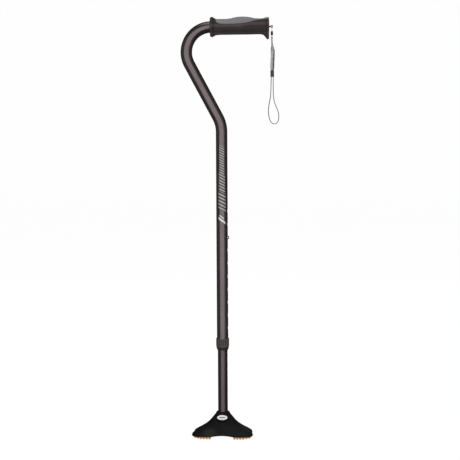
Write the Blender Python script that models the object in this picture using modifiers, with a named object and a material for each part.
"""Offset-handle walking cane with a small four-tread standing tip.

The shaft's axis is the Z axis and Z = 0 is the floor. The handle reaches along
+X, and the button and its row of holes are on the +X side of the shaft. The
standing tip is long along X; its front, with the badge, faces -Y, so its left
is -X. Lengths are millimetres, turned into metres as the meshes are made.
"""

import math

import bmesh
import bpy
from mathutils import Matrix, Vector

MM = 0.001
GAP = 0.3  # clearance left between two pieces

for old_object in list(bpy.data.objects):
    bpy.data.objects.remove(old_object, do_unlink=True)

PARTS = bpy.data.collections.new("Walking cane")
CUTTERS = bpy.data.collections.new("Cutters")
for collection in (PARTS, CUTTERS):
    bpy.context.scene.collection.children.link(collection)

# ---------------------------------------------------------------- shared sizes
UPPER_R = 11.1  # 22.2 mm (7/8 in) tube
UPPER_WALL = 1.2
UPPER_BOTTOM_Z = 179.3

LOWER_R = 9.5  # 19 mm (3/4 in) tube
LOWER_WALL = 1.2
LOWER_TOP_Z = 417.3
LOWER_BOTTOM_Z = 10.0

GRIP_Z = 796.3  # axis of the tube inside the grip
TUBE_END_X = 84.0
EYE_X = 97.5  # eye that carries the wrist strap

HOLE_PITCH = 25.4
HOLE_COUNT = 10
HOLE_TOP_Z = 442.1
HOLE_R = 4.1
HOLES_OVER_BUTTON = 2  # holes above the one in use
BUTTON_Z = HOLE_TOP_Z - HOLES_OVER_BUTTON * HOLE_PITCH

# ---------------------------------------------------------------- colours
ANODISED = (0.105, 0.088, 0.088)
ANODISED_LOWER = (0.085, 0.066, 0.07)
BLACK_RUBBER = (0.018, 0.017, 0.017)
GREY_RUBBER = (0.2, 0.19, 0.21)
CHARCOAL = (0.035, 0.034, 0.035)
COLLET_GREY = (0.25, 0.25, 0.24)
CORD_GREY = (0.3, 0.29, 0.28)
WEBBING_GREY = (0.42, 0.41, 0.41)
TAB_BROWN = (0.05, 0.04, 0.038)
STEEL = (0.55, 0.55, 0.56)
AMBER = (0.6, 0.24, 0.05)
BADGE_SILVER = (0.85, 0.82, 0.86)


# ---------------------------------------------------------------- filing
def move_to(obj, target):
    for holder in list(obj.users_collection):
        holder.objects.unlink(obj)
    target.objects.link(obj)


def finish(obj, colour, roughness, metallic=0.0):
    """Files the object with the parts and gives it a material of its own name."""
    move_to(obj, PARTS)
    material = bpy.data.materials.new(obj.name)
    material.use_nodes = True
    shader = material.node_tree.nodes["Principled BSDF"]
    shader.inputs["Base Color"].default_value = (*colour, 1.0)
    shader.inputs["Roughness"].default_value = roughness
    shader.inputs["Metallic"].default_value = metallic
    material.diffuse_color = (*colour, 1.0)
    obj.data.materials.append(material)
    return obj


def boolean(obj, other, operation="DIFFERENCE"):
    """Adds a live boolean with the other object, which goes to the cutters."""
    modifier = obj.modifiers.new(other.name, "BOOLEAN")
    modifier.operation = operation
    modifier.solver = "EXACT"
    modifier.object = other
    move_to(other, CUTTERS)
    other.hide_render = True
    other.display_type = "WIRE"


def object_of(name, data):
    obj = bpy.data.objects.new(name, data)
    bpy.context.scene.collection.objects.link(obj)
    return obj


def mesh_object(name, bm):
    """An object of the bmesh, which is freed."""
    mesh = bpy.data.meshes.new(name)
    bm.to_mesh(mesh)
    bm.free()
    return object_of(name, mesh)


def smooth(obj):
    obj.data.shade_smooth()
    obj.data.set_sharp_from_angle(angle=math.radians(35))


# ---------------------------------------------------------------- frames
def shift(x, y, z):
    return Matrix.Translation((x * MM, y * MM, z * MM))


def turn_z(degrees):
    return Matrix.Rotation(math.radians(degrees), 4, "Z")


def along_x(x=0.0, y=0.0, z=0.0):
    """Turns a piece's Z axis to +X and moves its origin to x, y, z."""
    return shift(x, y, z) @ Matrix.Rotation(math.radians(90), 4, "Y")


def along_y(x=0.0, y=0.0, z=0.0):
    """Turns a piece's Z axis to +Y and moves its origin to x, y, z."""
    return shift(x, y, z) @ Matrix.Rotation(math.radians(-90), 4, "X")


HANDLE_FRAME = along_x(z=GRIP_Z)  # heights become X, radii spread round the grip's axis


# ---------------------------------------------------------------- solids
def turned(name, outline, steps=24, ring=True, matrix=None):
    """A piece turned about Z from (radius, height) pairs.

    A ring's outline closes on itself; any other starts and ends on the axis.
    """
    mesh = bpy.data.meshes.new(name)
    count = len(outline)
    edges = [(i, i + 1) for i in range(count - 1)]
    if ring:
        edges.append((count - 1, 0))
    mesh.from_pydata([(radius * MM, 0, z * MM) for radius, z in outline], edges, [])
    obj = object_of(name, mesh)
    screw = obj.modifiers.new("Turn", "SCREW")
    screw.steps = screw.render_steps = steps
    screw.use_merge_vertices = True
    screw.merge_threshold = 1e-6
    screw.use_smooth_shade = True
    if matrix is not None:
        obj.matrix_world = matrix
    return obj


def cylinder(name, radius, start, end, matrix=None, sides=24):
    outline = [(0, end), (radius, end), (radius, start), (0, start)]
    return turned(name, outline, steps=sides, ring=False, matrix=matrix)


def oval(name, frame, half_x, half_y, start, end, sides):
    """An oval plate: a cylinder of radius 1 stretched along the frame's X and Y."""
    matrix = frame @ Matrix.Diagonal((half_x, half_y, 1, 1))
    return cylinder(name, 1, start, end, matrix, sides)


def box(name, low, high, bevel=0.0):
    bpy.ops.mesh.primitive_cube_add(size=1)
    obj = bpy.context.object
    obj.name = obj.data.name = name
    size = [(top - bottom) * MM for bottom, top in zip(low, high)]
    for vertex in obj.data.vertices:
        vertex.co = [place * length for place, length in zip(vertex.co, size)]
    obj.location = [(top + bottom) / 2 * MM for bottom, top in zip(low, high)]
    if bevel:
        modifier = obj.modifiers.new("Edges", "BEVEL")
        modifier.width = bevel * MM
        modifier.segments = 2
    return obj


def cones(name, matrices, segments, bottom_r, top_r, depth):
    """Like cones or prisms in one mesh, each centred on its matrix."""
    bm = bmesh.new()
    for matrix in matrices:
        bmesh.ops.create_cone(
            bm,
            cap_ends=True,
            segments=segments,
            radius1=bottom_r * MM,
            radius2=top_r * MM,
            depth=depth * MM,
            matrix=matrix,
        )
    return mesh_object(name, bm)


def loft(name, rings, closed=False):
    """A skin over rings of points that hold the same count.

    Unless the rings close on themselves, each end is a quad or a fan round its middle.
    """
    bm = bmesh.new()
    rows = [[bm.verts.new(Vector(point) * MM) for point in ring] for ring in rings]
    count = len(rows[0])
    pairs = list(zip(rows, rows[1:]))
    if closed:
        pairs.append((rows[-1], rows[0]))
    for first, second in pairs:
        for i in range(count):
            j = (i + 1) % count
            bm.faces.new((first[i], first[j], second[j], second[i]))
    for row in () if closed else (rows[0], rows[-1]):
        if count == 4:
            bm.faces.new(row)
            continue
        middle = bm.verts.new(sum((vertex.co for vertex in row), Vector()) / count)
        for i in range(count):
            bm.faces.new((row[i], row[(i + 1) % count], middle))
    bmesh.ops.recalc_face_normals(bm, faces=bm.faces)
    obj = mesh_object(name, bm)
    smooth(obj)
    return obj


def solid_from_curve(name, curve, points):
    """A welded mesh of the curve run straight through points; the curve is dropped."""
    spline = curve.splines.new("POLY")
    spline.points.add(len(points) - 1)
    for spline_point, place in zip(spline.points, points):
        spline_point.co = (*(value * MM for value in place), 1.0)
    spline.use_cyclic_u = not curve.use_fill_caps
    source = object_of(name + "_path", curve)
    bpy.context.view_layer.update()
    graph = bpy.context.evaluated_depsgraph_get()
    bm = bmesh.new()
    bm.from_mesh(bpy.data.meshes.new_from_object(source.evaluated_get(graph)))
    bmesh.ops.remove_doubles(bm, verts=bm.verts, dist=1e-6)
    bmesh.ops.recalc_face_normals(bm, faces=bm.faces)
    bpy.data.objects.remove(source)
    return mesh_object(name, bm)


def rod(name, points, radius, sides=22, cyclic=False):
    """A round bar along points, capped unless it is cyclic."""
    curve = bpy.data.curves.new(name, "CURVE")
    curve.dimensions = "3D"
    curve.bevel_depth = radius * MM
    curve.bevel_resolution = (sides - 4) // 2
    curve.use_fill_caps = not cyclic
    obj = solid_from_curve(name, curve, points)
    smooth(obj)
    return obj


def slab_xz(name, outline, half_depth):
    """A flat slab with an outline of (x, z) pairs, reaching half_depth to each side in Y."""
    curve = bpy.data.curves.new(name, "CURVE")
    curve.dimensions = "2D"
    curve.fill_mode = "BOTH"
    curve.extrude = half_depth * MM
    curve.use_fill_caps = False
    obj = solid_from_curve(name, curve, [(x, z, 0) for x, z in outline])
    obj.rotation_euler = (math.radians(90), 0, 0)
    return obj


def closed_spline(points, per_span):
    """Points along a closed Catmull-Rom curve through the given ones."""
    points = [Vector(point) for point in points]
    count = len(points)
    curve_points = []
    for i in range(count):
        before, start, end, after = (points[(i + k) % count] for k in (-1, 0, 1, 2))
        for step in range(per_span):
            t = step / per_span
            curve_points.append(
                0.5
                * (
                    2 * start
                    + (end - before) * t
                    + (2 * before - 5 * start + 4 * end - after) * t * t
                    + (3 * start - 3 * end + after - before) * t * t * t
                )
            )
    return curve_points


def ribbon(name, stations, half_width, half_thick, closed=False):
    """A flat strip through (x, z, quarter turns) stations in the XZ plane.

    A turn of 0 lays the strip's width along Y, and a turn of 1 faces it along Y.
    """
    places = [Vector((x, 0, z)) for x, z, _ in stations]
    count = len(places)
    rings = []
    for i, place in enumerate(places):
        before = places[i - 1] if closed or i else place
        after = places[(i + 1) % count] if closed or i + 1 < count else place
        forward = (after - before).normalized()
        twist = math.radians(90) * stations[i][2]
        across = Matrix.Rotation(twist, 3, forward) @ Vector((0, 1, 0))
        normal = forward.cross(across).normalized()
        rings.append(
            [
                place + across * (half_width * side) + normal * (half_thick * face)
                for side, face in ((1, 1), (-1, 1), (-1, -1), (1, -1))
            ]
        )
    return loft(name, rings, closed=closed)


def button_pegs(name, heights, start, end):
    """Round cutters of the button holes' radius, from start to end along X."""
    frames = [along_x((start + end) / 2, 0, z) for z in heights]
    return cones(name, frames, 14, HOLE_R, HOLE_R, end - start)


# ---------------------------------------------------------------- upper tube
BEND_X = -19.2  # where the bend leaves the straight of the grip
BEND_R = 48.0
BEND_TURN = math.radians(118.15)
BEND_STEPS = 16
KINK_R = 60.0  # smaller bend that brings the tube onto the shaft's axis
KINK_STEPS = 6
BORE_OVERRUN = 5  # how far the bore's cutter passes each end


def arc_point(centre, radius, angle):
    """A point of a circle in the XZ plane, its angle counted from +X towards +Z."""
    return centre + Vector((math.cos(angle), 0, math.sin(angle))) * radius


def shaft_path():
    """The upper tube's centreline, from the grip's end down to the lock collar."""
    points = [Vector((TUBE_END_X, 0, GRIP_Z)), Vector((BEND_X, 0, GRIP_Z))]
    bend_centre = Vector((BEND_X, 0, GRIP_Z - BEND_R))
    for i in range(1, BEND_STEPS + 1):
        angle = math.radians(90) + BEND_TURN * i / BEND_STEPS
        points.append(arc_point(bend_centre, BEND_R, angle))

    # the tube then leans forward until the kink turns it upright at X = 0
    lean = BEND_TURN - math.radians(90)
    heading = Vector((math.sin(lean), 0, -math.cos(lean)))
    bend_end = points[-1]
    corner_z = bend_end.z + heading.z * (-bend_end.x / heading.x)
    kink_centre = Vector((-KINK_R, 0, corner_z - KINK_R * math.tan(lean / 2)))
    for i in range(KINK_STEPS + 1):
        angle = lean * (1 - i / KINK_STEPS)
        points.append(arc_point(kink_centre, KINK_R, angle))
    points.append(Vector((0, 0, UPPER_BOTTOM_Z)))
    return points


def build_handle_tube():
    path = shaft_path()
    tube = rod("handle_tube", path, UPPER_R)
    bore_path = [
        path[0] + Vector((BORE_OVERRUN, 0, 0)),
        *path[1:-1],
        path[-1] - Vector((0, 0, BORE_OVERRUN)),
    ]
    boolean(tube, rod("handle_tube_bore", bore_path, UPPER_R - UPPER_WALL))
    heights = [HOLE_TOP_Z - i * HOLE_PITCH for i in range(HOLE_COUNT)]
    boolean(tube, button_pegs("adjustment_holes", heights, 4, 16))
    return finish(tube, ANODISED, roughness=0.38, metallic=0.6)


# ---------------------------------------------------------------- grip
# x, top, bottom, half width; top and bottom are measured from the tube's axis
GRIP_STATIONS = [
    (-20.8, 17.6, 17.6, 17.6),
    (-19.6, 19.0, 19.0, 19.0),
    (-17.4, 19.3, 19.3, 19.3),
    (-15.2, 18.6, 18.7, 18.6),
    (-12.8, 17.0, 17.4, 17.0),
    (-9.3, 15.4, 15.7, 15.4),
    (-3.8, 14.9, 15.2, 15.0),
    (9.2, 14.9, 15.0, 15.4),
    (17.2, 15.9, 15.0, 15.8),
    (25.2, 17.6, 14.9, 16.1),
    (33.2, 18.8, 14.9, 16.3),
    (40.7, 19.1, 14.9, 16.3),
    (48.2, 18.8, 14.9, 16.2),
    (57.2, 17.5, 14.8, 15.9),
    (67.2, 15.7, 14.6, 15.6),
    (75.2, 15.3, 14.6, 15.4),
    (80.2, 15.7, 15.6, 15.6),
    (83.2, 16.4, 18.0, 16.2),
    (86.2, 17.4, 21.8, 17.2),
    (88.6, 18.0, 24.2, 17.9),
    (90.6, 17.9, 24.4, 17.9),
    (91.8, 16.6, 22.9, 16.8),
]
GRIP_SQUARENESS = 2.25  # exponent of the rounded section
GRIP_SIDES = 32
GRIP_BORE_R = 12.3
GRIP_BORE_END_X = 86.0

# lower edge of the comfort pad: x, height over the tube's axis
PAD_EDGE = [
    (-12.0, 19.0), (-9.9, 12.7), (-6.2, 7.2), (0.8, 5.2), (12.4, 4.9),
    (25.3, 5.0), (39.4, 6.1), (54.3, 8.3), (62.2, 10.8), (70.3, 12.9),
    (78.0, 13.5), (85.7, 13.9), (91.2, 14.2),
]
PAD_EDGE_STEPS = 26
PAD_FLOOR_R = 13.2  # inner skin of the pad
PAD_SEAT_X = (-13.8, 91.1)  # ends of the recess that holds the pad
PAD_REGION_REACH = 30  # above the tube's axis, and to each side of it

POST_R = 1.6
POST_HOLE_R = POST_R + GAP


def signed_power(value, exponent):
    return math.copysign(abs(value) ** exponent, value)


def grip_ring(x, top, bottom, half_width):
    ring = []
    exponent = 2 / GRIP_SQUARENESS
    for i in range(GRIP_SIDES):
        angle = 2 * math.pi * i / GRIP_SIDES
        cosine, sine = math.cos(angle), math.sin(angle)
        height = top if sine > 0 else bottom
        y = half_width * signed_power(cosine, exponent)
        ring.append((x, y, GRIP_Z + height * signed_power(sine, exponent)))
    return ring


def grip_shell(name):
    return loft(name, [grip_ring(*station) for station in GRIP_STATIONS])


def pad_edge_height(x):
    """Height of the pad's edge at x, straight between the points of its table."""
    if x <= PAD_EDGE[0][0]:
        return PAD_EDGE[0][1]
    for (x0, height0), (x1, height1) in zip(PAD_EDGE, PAD_EDGE[1:]):
        if x <= x1:
            return height0 + (height1 - height0) * ((x - x0) / (x1 - x0))


def pad_region(name, lift, floor_r, left, right):
    """The space above the pad's lower edge and outside the radius floor_r."""
    outline = []
    for i in range(PAD_EDGE_STEPS + 1):
        x = left + (right - left) * i / PAD_EDGE_STEPS
        outline.append((x, GRIP_Z + pad_edge_height(x) + lift))
    top_z = GRIP_Z + PAD_REGION_REACH
    outline += [(right, top_z), (left, top_z)]
    region = slab_xz(name, outline, PAD_REGION_REACH)
    boolean(region, cylinder(name + "_floor", floor_r, -40, 110, HANDLE_FRAME, 28))
    return region


def build_grip_body():
    body = grip_shell("grip_body")
    boolean(body, pad_region("pad_seat", -GAP / 2, PAD_FLOOR_R - GAP, *PAD_SEAT_X))
    bore = [
        (0, 100),
        (POST_HOLE_R, 100),
        (POST_HOLE_R, GRIP_BORE_END_X),
        (GRIP_BORE_R, GRIP_BORE_END_X),
        (GRIP_BORE_R, -30),
        (0, -30),
    ]
    boolean(body, turned("grip_bore", bore, steps=28, ring=False, matrix=HANDLE_FRAME))
    return finish(body, BLACK_RUBBER, roughness=0.75)


def build_grip_pad():
    pad = grip_shell("grip_comfort_pad")
    left, right = PAD_SEAT_X
    block = pad_region("pad_block", GAP / 2, PAD_FLOOR_R, left + GAP, right - GAP)
    boolean(pad, block, "INTERSECT")
    return finish(pad, GREY_RUBBER, roughness=0.7)


def build_grip_core():
    """The sleeve between the tube and the grip."""
    outer_r, inner_r = GRIP_BORE_R - GAP, UPPER_R + GAP
    start, end = -20, 83.8
    outline = [(outer_r, end), (outer_r, start), (inner_r, start), (inner_r, end)]
    core = turned("grip_core", outline, matrix=HANDLE_FRAME)
    return finish(core, CHARCOAL, roughness=0.5)


def build_tube_end_plug():
    plug_r = UPPER_R - UPPER_WALL - GAP
    flange_r = 10.8
    face_x = GRIP_BORE_END_X - GAP
    outline = [
        (0, 74),
        (POST_HOLE_R, 74),
        (POST_HOLE_R, face_x),
        (flange_r, face_x),
        (flange_r, TUBE_END_X + GAP),
        (plug_r, TUBE_END_X + GAP),
        (plug_r, 73),
        (8.6, 71),
        (0, 71),
    ]
    plug = turned("tube_end_plug", outline, ring=False, matrix=HANDLE_FRAME)
    return finish(plug, CHARCOAL, roughness=0.5)


# ---------------------------------------------------------------- wrist strap
POST_START_X = 74.6
EYE_HALF_X, EYE_HALF_Z = 1.95, 3.1
EYE_HALF_THICK = 1.2
EYE_HOLE_R = 1.05

# half of the cord loop in the plane X = EYE_X, from its top to its foot:
# y, depth below the grip's axis
CORD_FOOT = 20.9
CORD_HALF = [
    (0.0, 0.0), (1.1, 0.0), (1.75, 0.3), (2.05, 1.2), (2.05, 3.6), (1.5, 5.8),
    (0.7, 8.0), (0.6, 9.4), (0.6, 17.2), (1.6, 18.0), (3.9, 18.8), (4.7, 19.4),
    (4.9, 20.0), (4.7, 20.6), (4.2, CORD_FOOT), (0.0, CORD_FOOT),
]
CORD_R = 0.45

# radius, depth below the grip's axis
BEAD_OUTLINE = [
    (1.7, 8.9), (2.1, 9.6), (2.2, 13.0), (2.1, 16.4), (1.7, 17.0), (1.35, 17.0), (1.35, 8.9),
]

STRAP_HALF = 3.8  # half of the webbing's width
WEB = 1.2  # webbing thickness; the hanging part is double
TUNNEL_Z = GRIP_Z - CORD_FOOT  # fold of webbing that the cord's foot runs through
TUNNEL_OUTER_R, TUNNEL_INNER_R = 1.5, 0.8

# hanging part of the webbing, from the tunnel down: x, z, quarter turns
STRAP_DROP = [
    (EYE_X, TUNNEL_Z - 0.95, 0.0),
    (EYE_X, 768.3, 0.0),
    (98.0, 763.3, 0.12),
    (98.6, 759.3, 0.4),
    (99.1, 755.3, 0.7),
    (99.4, 751.3, 0.9),
    (99.5, 747.3, 1.0),
    (99.3, 740.3, 1.0),
    (99.0, 736.8, 1.12),
    (98.4, 733.8, 1.4),
    (98.0, 731.1, 1.75),
    (97.8, 728.7, 2.0),
    (97.8, 726.9, 2.0),
]

# wrist loop: x, z, down its -X side and back up its +X side
LOOP_POINTS = [
    (97.8, 727.3), (96.4, 723.8), (96.1, 716.3), (96.1, 707.3), (96.0, 697.3),
    (95.5, 680.3), (94.6, 663.3), (92.2, 650.3), (90.6, 638.3), (91.2, 626.3),
    (94.0, 616.9), (98.0, 611.7), (102.2, 610.4), (106.6, 612.5), (109.8, 618.3),
    (110.4, 626.8), (108.6, 635.8), (104.8, 645.3), (101.4, 655.3), (100.0, 668.3),
    (99.9, 682.3), (99.9, 697.3), (99.9, 707.3), (99.9, 716.3), (99.4, 723.8),
]

# opposite corners of the tab round the loop, and of its opening
TAB_CORNERS = (94.5, -4.95, 700.5), (101.5, 4.95, 713.3)
TAB_OPENING_CORNERS = (95.2, -4.15, 692), (100.8, 4.15, 722)
TAB_BEVEL = 0.7


def build_strap_post():
    """The pin in the grip's end, with the eye for the cord."""
    post = cylinder("strap_post", POST_R, POST_START_X, EYE_X - 0.8, HANDLE_FRAME, 20)
    eye_frame = along_y(EYE_X, 0, GRIP_Z)
    eye_size = (EYE_HALF_X, EYE_HALF_Z, -EYE_HALF_THICK, EYE_HALF_THICK)
    boolean(post, oval("strap_eye", eye_frame, *eye_size, sides=24), "UNION")
    boolean(post, cylinder("eye_hole", EYE_HOLE_R, -4, 4, eye_frame, 20))
    return finish(post, CHARCOAL, roughness=0.4)


def build_strap_cord():
    points = [(EYE_X, y, GRIP_Z - depth) for y, depth in CORD_HALF]
    points += [(x, -y, z) for x, y, z in points[-2:0:-1]]
    cord = rod("strap_cord", points, CORD_R, sides=8, cyclic=True)
    return finish(cord, CORD_GREY, roughness=0.7)


def build_strap_bead():
    outline = [(radius, GRIP_Z - depth) for radius, depth in BEAD_OUTLINE]
    bead = turned("strap_bead", outline, steps=20, matrix=shift(EYE_X, 0, 0))
    return finish(bead, CHARCOAL, roughness=0.35)


def build_strap_webbing():
    webbing = ribbon("strap_webbing", STRAP_DROP, STRAP_HALF, WEB)
    tunnel = turned(
        "strap_tunnel",
        [
            (TUNNEL_OUTER_R, STRAP_HALF),
            (TUNNEL_OUTER_R, -STRAP_HALF),
            (TUNNEL_INNER_R, -STRAP_HALF),
            (TUNNEL_INNER_R, STRAP_HALF),
        ],
        steps=20,
        matrix=along_y(EYE_X, 0, TUNNEL_Z),
    )
    boolean(webbing, tunnel, "UNION")
    loop_stations = [(x, z, 0.0) for x, z in closed_spline(LOOP_POINTS, 2)]
    loop = ribbon("strap_loop", loop_stations, STRAP_HALF, WEB / 2, closed=True)
    boolean(webbing, loop, "UNION")
    return finish(webbing, WEBBING_GREY, roughness=0.85)


def build_strap_tab():
    tab = box("strap_tab", *TAB_CORNERS, bevel=TAB_BEVEL)
    boolean(tab, box("strap_tab_opening", *TAB_OPENING_CORNERS))
    return finish(tab, TAB_BROWN, roughness=0.6)


# ---------------------------------------------------------------- lower tube
BUTTON_R = 3.8
BUTTON_TIP_X = 13.5
BUTTON_FLANGE_R = 4.3
BUTTON_FLANGE_X = (5.9, 6.6)

SPRING_FOOT_Z = BUTTON_Z - 36.0
SPRING_BEND_R = 2.4
SPRING_BEND_STEPS = 8
SPRING_HALF_WIDTH = 3.0
SPRING_HALF_THICK = 0.3


def build_lower_tube():
    bore_r = LOWER_R - LOWER_WALL
    outline = [
        (LOWER_R, LOWER_TOP_Z),
        (LOWER_R, LOWER_BOTTOM_Z),
        (bore_r, LOWER_BOTTOM_Z),
        (bore_r, LOWER_TOP_Z),
    ]
    tube = turned("lower_tube", outline, steps=28)
    boolean(tube, button_pegs("button_hole", [BUTTON_Z], 3, 14))
    finish(tube, ANODISED_LOWER, roughness=0.36, metallic=0.6)


def build_tube_glide_plug():
    """The bushing in the lower tube's top, flush with the tube's outside."""
    plug_r = LOWER_R - LOWER_WALL - GAP
    bore_r = 4.0
    outline = [
        (bore_r, LOWER_TOP_Z + 3.6),
        (9.1, LOWER_TOP_Z + 3.6),
        (LOWER_R, LOWER_TOP_Z + 3.1),
        (LOWER_R, LOWER_TOP_Z + GAP),
        (plug_r, LOWER_TOP_Z + GAP),
        (plug_r, LOWER_TOP_Z - 11.0),
        (7.4, LOWER_TOP_Z - 12.0),
        (bore_r, LOWER_TOP_Z - 12.0),
    ]
    finish(turned("tube_glide_plug", outline), CHARCOAL, roughness=0.5)


def build_button_spring():
    """V spring: -X leg, bend at the foot, and the +X leg that carries the button."""
    path = [(-7.0, BUTTON_Z + 11.5), (-6.9, BUTTON_Z - 17.0)]
    for i in range(SPRING_BEND_STEPS + 1):
        angle = math.pi + math.pi * i / SPRING_BEND_STEPS
        x = SPRING_BEND_R * math.cos(angle)
        path.append((x, SPRING_FOOT_Z + SPRING_BEND_R * math.sin(angle)))
    path += [(5.2, BUTTON_Z - 8.0), (5.3, BUTTON_Z + 7.0)]
    stations = [(x, z, 0.0) for x, z in path]
    spring = ribbon("button_spring", stations, SPRING_HALF_WIDTH, SPRING_HALF_THICK)
    finish(spring, STEEL, roughness=0.3, metallic=1.0)


def build_snap_button():
    flange_start, flange_end = BUTTON_FLANGE_X
    outline = [
        (0, BUTTON_TIP_X),
        (1.3, BUTTON_TIP_X - 0.12),
        (2.5, BUTTON_TIP_X - 0.7),
        (3.35, BUTTON_TIP_X - 1.7),
        (BUTTON_R, BUTTON_TIP_X - 3.0),
        (BUTTON_R, flange_end),
        (BUTTON_FLANGE_R, flange_end),
        (BUTTON_FLANGE_R, flange_start),
        (0, flange_start),
    ]
    button = turned("snap_button", outline, ring=False, matrix=along_x(z=BUTTON_Z))
    return finish(button, STEEL, roughness=0.3, metallic=1.0)


# ---------------------------------------------------------------- lock collar
NUT_TOP_Z = 193.8
NUT_BOTTOM_Z = 170.7
NUT_R = 12.7
NUT_AXIS_Z = 182.3

GROOVE_COUNT = 18
GROOVE_RING_R = 13.0  # from the nut's axis to a groove's middle
GROOVE_R = 0.6
GROOVE_LENGTH = 10.4
GROOVE_Z = NUT_TOP_Z - 7.6


def build_lock_nut():
    outline = [
        (12.1, NUT_TOP_Z),
        (12.6, NUT_TOP_Z - 0.7),
        (NUT_R, NUT_TOP_Z - 1.6),
        (NUT_R, NUT_BOTTOM_Z + 9.2),
        (12.45, NUT_BOTTOM_Z + 7.2),
        (11.8, NUT_BOTTOM_Z + 4.2),
        (11.0, NUT_BOTTOM_Z + 1.8),
        (10.35, NUT_BOTTOM_Z),
        (9.9, NUT_BOTTOM_Z),
        (9.9, NUT_BOTTOM_Z + 1.2),
        (10.8, NUT_BOTTOM_Z + 3.2),
        (UPPER_R + GAP, NUT_BOTTOM_Z + 8.0),
        (UPPER_R + GAP, NUT_TOP_Z),
    ]
    nut = turned("lock_nut", outline, steps=28)
    frames = []
    for i in range(GROOVE_COUNT):
        angle = 2 * math.pi * (i + 0.5) / GROOVE_COUNT
        x, y = GROOVE_RING_R * math.cos(angle), GROOVE_RING_R * math.sin(angle)
        frames.append(shift(x, y, GROOVE_Z))
    boolean(nut, cones("nut_grooves", frames, 4, GROOVE_R, GROOVE_R, GROOVE_LENGTH))
    return finish(nut, CHARCOAL, roughness=0.55)


def build_split_collet():
    """The ring under the upper tube, slit on its -X side."""
    outline = [
        (10.9, UPPER_BOTTOM_Z - GAP),
        (10.9, UPPER_BOTTOM_Z - 2.0),
        (10.4, UPPER_BOTTOM_Z - 5.0),
        (LOWER_R + GAP, UPPER_BOTTOM_Z - 5.0),
        (LOWER_R + GAP, UPPER_BOTTOM_Z - GAP),
    ]
    collet = turned("split_collet", outline)
    boolean(collet, box("collet_slit", (-14, -0.7, 172), (-8, 0.7, 181)))
    return finish(collet, COLLET_GREY, roughness=0.5)


# ---------------------------------------------------------------- standing tip
# z, half length along X, half depth along Y, squareness of the front (-Y)
# and of the back (+Y)
BOOT_STATIONS = [
    (49.0, 11.8, 11.8, 2.0, 2.0),
    (48.3, 12.6, 12.6, 2.0, 2.0),
    (45.5, 13.8, 13.8, 2.0, 2.0),
    (41.0, 17.5, 15.5, 2.12, 2.01),
    (36.0, 21.6, 17.9, 2.24, 2.02),
    (30.5, 26.4, 21.2, 2.59, 2.04),
    (25.0, 33.0, 25.0, 3.06, 2.08),
    (20.0, 41.1, 28.8, 3.76, 2.13),
    (16.0, 48.8, 32.1, 4.47, 2.19),
    (12.6, 54.9, 35.0, 5.18, 2.24),
    (9.8, 58.8, 37.1, 5.76, 2.28),
    (7.4, 60.0, 38.0, 6.0, 2.3),
    (5.9, 60.0, 37.7, 6.0, 2.3),
    (5.2, 59.4, 36.8, 6.0, 2.3),
]
BOOT_SIDES = 60
UNDERSIDE_Z = BOOT_STATIONS[-1][0]

# the sides draw in at their middles, fully at the lower height, not at all at the upper
WAIST_TOP_Z = 24.0
WAIST_HEIGHT = 16.0
WAIST_Y, WAIST_Y_SPREAD = 0.07, 20.0  # share of the depth lost, reach along X
WAIST_X, WAIST_X_SPREAD = 0.05, 13.0  # share of the length lost, reach along Y

ARCH_R = 110.0  # hollow across the underside, its axis along Y
ARCH_RISE = 2.1
ARCH_X = 0.37
BOSS_R = 13.0
BOSS_Z = 3.5

SOCKET_R = 11.5
SOCKET_FLOOR_Z = 8.0
SOCKET_SHOULDER_Z = 40.6  # the socket narrows to the lower tube above this

BADGE_Y = -19.1
BADGE_Z = 39.7
BADGE_TILT = math.radians(42)  # rise of the badge's face direction over level
BADGE_HALF_WIDTH, BADGE_HALF_HEIGHT = 10.1, 5.3
BADGE_THICK = 1.2
BADGE_RIM = 1.2  # width of the seat round the badge
BADGE_FRAME = shift(0, BADGE_Y, BADGE_Z) @ Matrix.Rotation(
    math.radians(90) - BADGE_TILT, 4, "X"
)


def boot_point(z, half_length, half_depth, front, back, angle):
    """A point of the tip's skin: round at the socket, a waisted oblong low down."""
    low = max(0.0, min(1.0, (WAIST_TOP_Z - z) / WAIST_HEIGHT))
    cosine, sine = math.cos(angle), math.sin(angle)
    square = front if sine < 0 else back
    reach = (abs(cosine) ** square + abs(sine) ** square) ** (-1 / square)
    x, y = half_length * cosine * reach, half_depth * sine * reach
    y_scale = 1 - WAIST_Y * low * math.exp(-((x / WAIST_Y_SPREAD) ** 2))
    x_scale = 1 - WAIST_X * low * math.exp(-((y / WAIST_X_SPREAD) ** 2))
    return (x * x_scale, y * y_scale, z)


def boot_ring(station):
    return [boot_point(*station, 2 * math.pi * i / BOOT_SIDES) for i in range(BOOT_SIDES)]


def badge_oval(name, rim, start, end):
    """An oval plate on the tip's sloping front, its thickness along the face direction."""
    half_sizes = (BADGE_HALF_WIDTH + rim, BADGE_HALF_HEIGHT + rim)
    return oval(name, BADGE_FRAME, *half_sizes, start, end, sides=36)


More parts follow.
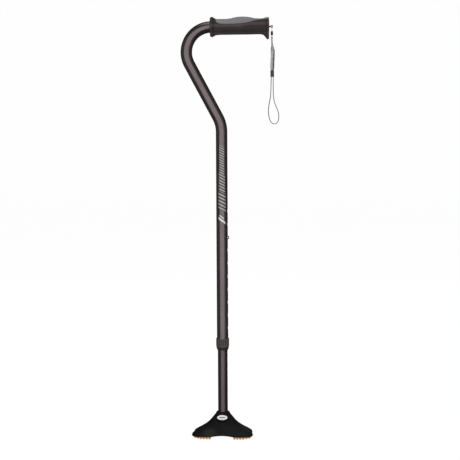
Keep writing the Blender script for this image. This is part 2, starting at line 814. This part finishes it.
def build_tip_boot():
    boot = loft("tip_boot", [boot_ring(station) for station in BOOT_STATIONS])
    arch_frame = along_y(ARCH_X, 0, UNDERSIDE_Z + ARCH_RISE - ARCH_R)
    boolean(boot, cylinder("underside_arch", ARCH_R, -60, 60, arch_frame, 90))
    boss_top = UNDERSIDE_Z + 2
    boss = cylinder("underside_boss", BOSS_R, BOSS_Z, boss_top, turn_z(5.3), 28)
    boolean(boot, boss, "UNION")
    boolean(boot, badge_oval("badge_seat", BADGE_RIM, -6.5, 0), "UNION")
    socket = [
        (0, 55),
        (LOWER_R + GAP, 55),
        (LOWER_R + GAP, SOCKET_SHOULDER_Z),
        (SOCKET_R, SOCKET_SHOULDER_Z),
        (SOCKET_R, SOCKET_FLOOR_Z),
        (0, SOCKET_FLOOR_Z),
    ]
    boolean(boot, turned("socket", socket, steps=28, ring=False, matrix=turn_z(2.1)))
    for name, side_x, side_y in TREADS:
        boolean(boot, tread_block(name + "_pocket", side_x, side_y, GAP))
    finish(boot, BLACK_RUBBER, roughness=0.6)


def build_tip_badge():
    badge = badge_oval("tip_badge", 0, GAP, GAP + BADGE_THICK)
    finish(badge, BADGE_SILVER, roughness=0.3)


def build_tip_washer():
    """The plate between the lower tube's end and the socket's floor."""
    outer_r, hole_r = SOCKET_R - GAP, 3.5
    top, bottom = LOWER_BOTTOM_Z - GAP, SOCKET_FLOOR_Z + GAP
    outline = [(outer_r, top), (outer_r, bottom), (hole_r, bottom), (hole_r, top)]
    washer = turned("tip_washer", outline, steps=28)
    finish(washer, STEEL, roughness=0.35, metallic=1.0)


def build_tip_socket_liner():
    outer_r, inner_r = SOCKET_R - GAP, LOWER_R + GAP
    top, bottom = SOCKET_SHOULDER_Z - GAP, LOWER_BOTTOM_Z
    outline = [(outer_r, top), (outer_r, bottom), (inner_r, bottom), (inner_r, top)]
    finish(turned("tip_socket_liner", outline), CHARCOAL, roughness=0.5)


# ---------------------------------------------------------------- treads
# name, sign of its X, sign of its Y
TREADS = [
    ("tread_front_left", -1, -1),
    ("tread_front_right", 1, -1),
    ("tread_back_left", -1, 1),
    ("tread_back_right", 1, 1),
]
TREAD_X = 22.0  # inner edges, from the tip's middle lines
TREAD_Y = 10.6
TREAD_CORNER_R = 1.5  # the corner nearest the tip's middle
TREAD_INSET = 1.9  # from the tip's lower edge
TREAD_PLATE_Z = (3.0, 6.2)
RIM_STEPS = 12

STUD_COLUMNS, STUD_ROWS = 6, 4
STUD_PITCH = 5.7
STUD_FIRST_X = TREAD_X + 2.2
STUD_FIRST_Y = TREAD_Y + 3.0
STUD = 4.2  # nominal width; the corners' radii are shares of it
STUD_FOOT_SHARE, STUD_TOP_SHARE = 0.62, 0.72
STUD_HEIGHT = 3.6
STUD_FIELD_X, STUD_FIELD_Y = 0.98, 0.985  # shares of the tip's half sizes open to studs


def tread_outline(side_y, grow):
    """The +X tread of one Y side, its Y counted positive, from +X end to inner corner.

    The outer edge follows the tip's, and the two inner edges are straight.
    """
    z, half_length, half_depth, front, back = BOOT_STATIONS[-1]
    inset = TREAD_INSET - grow
    inner_x, inner_y = TREAD_X - grow, TREAD_Y - grow
    rim = (z, half_length - inset, half_depth - inset, front, back)

    def rim_point(angle):
        x, y, _ = boot_point(*rim, side_y * angle)
        return (x, abs(y))

    def crossing(axis, value):
        """Angle at which the rim's x (axis 0, falling) or y (axis 1, rising) is value."""
        low, high = 0.0, math.pi / 2
        for _ in range(40):
            middle = (low + high) / 2
            above = rim_point(middle)[axis] > value
            if above == (axis == 0):
                low = middle
            else:
                high = middle
        return low

    start, end = crossing(1, inner_y), crossing(0, inner_x)
    ring = [rim_point(start + (end - start) * i / RIM_STEPS) for i in range(RIM_STEPS + 1)]
    for i in range(4):
        angle = math.pi + math.pi / 2 * i / 3
        x = inner_x + TREAD_CORNER_R + TREAD_CORNER_R * math.cos(angle)
        y = inner_y + TREAD_CORNER_R + TREAD_CORNER_R * math.sin(angle)
        ring.append((x, y))
    return ring


def tread_block(name, side_x, side_y, grow=0.0):
    """A tread's plate, or with grow the cutter of its pocket, which starts at the floor."""
    low, high = TREAD_PLATE_Z
    levels = (0.0 if grow else low, high + grow)
    ring = tread_outline(side_y, grow)
    return loft(name, [[(side_x * x, side_y * y, z) for x, y in ring] for z in levels])


def studs(name, side_x, side_y):
    """Square studs in rows under one tread, kept clear of its outer edge."""
    _, half_length, half_depth, front, back = BOOT_STATIONS[-1]
    square = front if side_y < 0 else back
    clear = TREAD_INSET + STUD * 0.5
    reach_x = half_length * STUD_FIELD_X - clear
    reach_y = half_depth * STUD_FIELD_Y - clear
    frames = []
    for i in range(STUD_COLUMNS):
        for j in range(STUD_ROWS):
            x = STUD_FIRST_X + i * STUD_PITCH
            y = STUD_FIRST_Y + j * STUD_PITCH
            if abs(x / reach_x) ** square + abs(y / reach_y) ** square <= 1.0:
                place = shift(side_x * x, side_y * y, STUD_HEIGHT / 2)
                frames.append(place @ turn_z(45))
    foot_r, top_r = STUD * STUD_FOOT_SHARE, STUD * STUD_TOP_SHARE
    return cones(name, frames, 4, foot_r, top_r, STUD_HEIGHT)


def build_tread(name, side_x, side_y):
    tread = tread_block(name, side_x, side_y)
    boolean(tread, studs(name + "_studs", side_x, side_y), "UNION")
    finish(tread, AMBER, roughness=0.55)


# ---------------------------------------------------------------- moving groups
def group(name, place, members):
    """An empty on a joint's axis that carries the pieces which move with it."""
    empty = bpy.data.objects.new(name, None)
    empty.empty_display_size = 0.02
    empty.location = [value * MM for value in place]
    PARTS.objects.link(empty)
    for member in members:
        member.parent = empty
        member.matrix_parent_inverse = shift(*(-value for value in place))
    return empty


def build_cane():
    handle = [
        build_handle_tube(),
        build_grip_core(),
        build_grip_body(),
        build_grip_pad(),
        build_tube_end_plug(),
    ]
    post = build_strap_post()
    strap = [
        build_strap_cord(),
        build_strap_bead(),
        build_strap_webbing(),
        build_strap_tab(),
    ]
    build_lower_tube()
    build_tube_glide_plug()
    build_button_spring()
    button = build_snap_button()
    collar = [build_lock_nut(), build_split_collet()]
    build_tip_boot()
    for tread in TREADS:
        build_tread(*tread)
    build_tip_badge()
    build_tip_washer()
    build_tip_socket_liner()

    eye_place = (EYE_X, 0, GRIP_Z)
    slide_axis = group("height_slide_axis", (0, 0, UPPER_BOTTOM_Z), handle)
    group("button_axis", (0, 0, BUTTON_Z), [button])
    lock_axis = group("lock_nut_axis", (0, 0, NUT_AXIS_Z), collar)
    swivel_axis = group("strap_swivel_axis", eye_place, [post])
    swing_axis = group("strap_swing_axis", eye_place, strap)
    for child, parent in (
        (lock_axis, slide_axis),
        (swivel_axis, slide_axis),
        (swing_axis, swivel_axis),
    ):
        bpy.context.view_layer.update()  # brings the parent's matrix up to date
        child.parent = parent
        child.matrix_parent_inverse = parent.matrix_world.inverted()
    bpy.context.view_layer.update()


build_cane()
